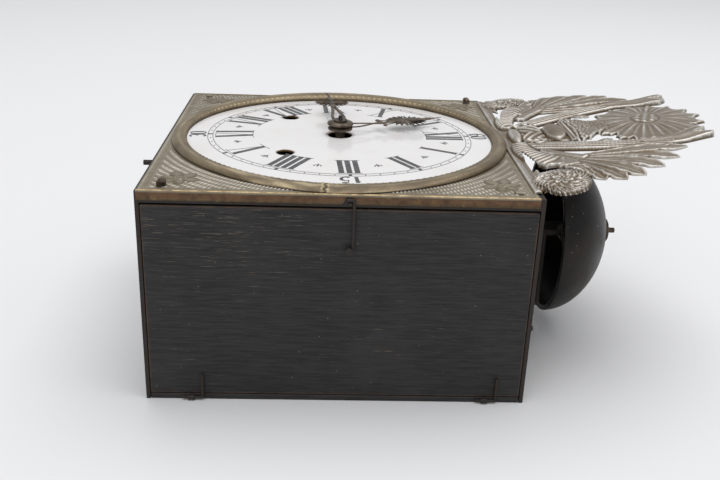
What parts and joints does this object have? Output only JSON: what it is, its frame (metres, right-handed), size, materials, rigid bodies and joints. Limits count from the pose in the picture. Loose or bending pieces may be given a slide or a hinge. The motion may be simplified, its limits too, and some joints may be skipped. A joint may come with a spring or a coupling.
{
  "type": "comtoise clock",
  "caption": "Comtoise clock movement in an iron cage with black wooden doors, stamped brass front and pediment, enamel dial, hands and a bell on top, lying on its back.",
  "frame": {"origin": "on the axis of the hands, on the outer face of the back board that the clock lies on", "axes": "+X is up on the standing clock, from VI to XII; +Y is its left side, towards IX; +Z comes out of the dial"},
  "size_m": [0.3967, 0.2628, 0.1725],
  "materials": {
    "iron": "dark wrought iron, rusty in places",
    "steel": "worn filed steel",
    "train_brass": "dull cut brass",
    "front_brass": "stamped sheet brass, tarnished grey-brown",
    "hand_brass": "dark bronze-coloured brass",
    "black_wood": "thin boards painted matt black, scratched",
    "drum_wood": "turned hardwood",
    "enamel": "cool white vitreous enamel on copper",
    "bell_metal": "blackened bell metal"
  },
  "bodies": {
    "case": {"bottom_plate": "iron", "top_plate": "iron", "corner_posts": "iron", "front_frame": "iron", "back_board": "black_wood", "hinge_eyes": "iron", "board_screws": "steel", "front_bars": "iron", "rear_bars": "iron", "train_cocks": "iron", "motion_studs": "steel", "suspension_cock": "steel", "hammer_cock": "iron", "front_plate": "front_brass", "dial_ring": "front_brass", "enamel_dial": "enamel", "pediment": "front_brass", "corner_studs": "iron", "case_pins": "iron", "latch_studs": "iron", "bell_stand": "iron", "bell": "bell_metal", "bell_nut": "steel", "hand_washer": "train_brass", "hand_pin": "steel"},
    "right_door_leaf": {"right_door": "black_wood", "right_hinge_wires": "iron"},
    "right_latch_wire": {"right_latch": "iron"},
    "left_door_leaf": {"left_door": "black_wood", "left_hinge_wires": "iron"},
    "left_latch_wire": {"left_latch": "iron"},
    "going_great": {"going_great_wheel": "train_brass", "going_click": "steel"},
    "going_barrel": {"going_winding_arbor": "steel", "going_drum": "drum_wood"},
    "second": {"second_arbor": "steel", "second_wheels": "train_brass"},
    "third": {"third_arbor": "steel", "third_wheel": "train_brass"},
    "escape": {"escape_arbor": "steel", "escape_wheel": "train_brass"},
    "anchor_and_crutch": {"anchor": "steel", "crutch": "steel"},
    "minute": {"minute_pipe": "train_brass", "minute_wheel": "train_brass", "minute_hand": "hand_brass"},
    "reverse": {"reverse_wheel": "train_brass"},
    "hour": {"hour_pipe": "train_brass", "hour_wheel": "train_brass", "hour_hand": "hand_brass"},
    "strike_great": {"strike_great_wheel": "train_brass", "strike_click": "steel"},
    "strike_barrel": {"strike_winding_arbor": "steel", "strike_drum": "drum_wood"},
    "pin_wheel_set": {"pin_wheel_arbor": "steel", "pin_wheel": "train_brass"},
    "strike_third": {"strike_third_wheel": "train_brass"},
    "fly_set": {"fly": "steel"},
    "hammer_set": {"hammer": "iron"},
    "rack_bar": {"rack": "steel"}
  },
  "joints": [
    {"name": "right_door_hinge", "type": "hinge", "parent": "case", "child": "right_door_leaf", "pos_m": [0, -0.12815, 0.0021], "axis": [1, 0, 0], "range_deg": [0, 88]},
    {"name": "left_door_hinge", "type": "hinge", "parent": "case", "child": "left_door_leaf", "pos_m": [0, 0.12815, 0.0021], "axis": [-1, 0, 0], "range_deg": [0, 88]},
    {"name": "right_latch_swing", "type": "hinge", "parent": "right_door_leaf", "child": "right_latch_wire", "pos_m": [0.005, -0.127, 0.1094], "axis": [0, 1, 0], "range_deg": [0, 110]},
    {"name": "left_latch_swing", "type": "hinge", "parent": "left_door_leaf", "child": "left_latch_wire", "pos_m": [0.005, 0.127, 0.1094], "axis": [0, 1, 0], "range_deg": [0, 110]},
    {"name": "minute_turn", "type": "hinge", "parent": "case", "child": "minute", "pos_m": [0, 0, 0], "axis": [0, 0, 1], "continuous": true},
    {"name": "hour_turn", "type": "hinge", "parent": "case", "child": "hour", "pos_m": [0, 0, 0], "axis": [0, 0, 1], "continuous": true},
    {"name": "reverse_turn", "type": "hinge", "parent": "case", "child": "reverse", "pos_m": [-0.024, 0, 0], "axis": [0, 0, 1], "continuous": true},
    {"name": "second_turn", "type": "hinge", "parent": "case", "child": "second", "pos_m": [0.012, 0.047, 0], "axis": [0, 0, 1], "continuous": true},
    {"name": "going_great_turn", "type": "hinge", "parent": "case", "child": "going_great", "pos_m": [-0.038, 0.047, 0], "axis": [0, 0, 1], "continuous": true},
    {"name": "third_turn", "type": "hinge", "parent": "case", "child": "third", "pos_m": [0.03995, 0.03061, 0], "axis": [0, 0, 1], "continuous": true},
    {"name": "escape_turn", "type": "hinge", "parent": "case", "child": "escape", "pos_m": [0.06194, 0.01771, 0], "axis": [0, 0, 1], "continuous": true},
    {"name": "going_winding", "type": "hinge", "parent": "going_great", "child": "going_barrel", "pos_m": [-0.038, 0.047, 0], "axis": [0, 0, 1], "continuous": true, "deforming": ["going_click"]},
    {"name": "anchor_swing", "type": "hinge", "parent": "case", "child": "anchor_and_crutch", "pos_m": [0.09213, 0, 0], "axis": [0, 0, 1], "range_deg": [-2.5, 2.5]},
    {"name": "pin_wheel_turn", "type": "hinge", "parent": "case", "child": "pin_wheel_set", "pos_m": [0.012, -0.047, 0], "axis": [0, 0, 1], "continuous": true},
    {"name": "strike_great_turn", "type": "hinge", "parent": "case", "child": "strike_great", "pos_m": [-0.038, -0.047, 0], "axis": [0, 0, 1], "continuous": true},
    {"name": "strike_third_turn", "type": "hinge", "parent": "case", "child": "strike_third", "pos_m": [0.0444, -0.047, 0], "axis": [0, 0, 1], "continuous": true},
    {"name": "fly_turn", "type": "hinge", "parent": "case", "child": "fly_set", "pos_m": [0.0699, -0.047, 0], "axis": [0, 0, 1], "continuous": true},
    {"name": "strike_winding", "type": "hinge", "parent": "strike_great", "child": "strike_barrel", "pos_m": [-0.038, -0.047, 0], "axis": [0, 0, 1], "continuous": true, "deforming": ["strike_click"]},
    {"name": "hammer_lift", "type": "hinge", "parent": "case", "child": "hammer_set", "pos_m": [0, -0.04, 0.0332], "axis": [-1, 0, 0], "range_deg": [-1.5, 12]},
    {"name": "rack_drop", "type": "slide", "parent": "case", "child": "rack_bar", "axis": [-1, 0, 0], "range_m": [0, 0.026]}
  ],
  "couplings": [
    {"joint": "hour_turn", "follows": "minute_turn", "ratio": 0.083333},
    {"joint": "reverse_turn", "follows": "minute_turn", "ratio": -0.33333},
    {"joint": "second_turn", "follows": "minute_turn", "ratio": -1},
    {"joint": "going_great_turn", "follows": "minute_turn", "ratio": 0.11111},
    {"joint": "third_turn", "follows": "minute_turn", "ratio": 8},
    {"joint": "escape_turn", "follows": "minute_turn", "ratio": -60},
    {"joint": "strike_great_turn", "follows": "pin_wheel_turn", "ratio": -0.11111},
    {"joint": "strike_third_turn", "follows": "pin_wheel_turn", "ratio": -8},
    {"joint": "fly_turn", "follows": "pin_wheel_turn", "ratio": 60}
  ]
}
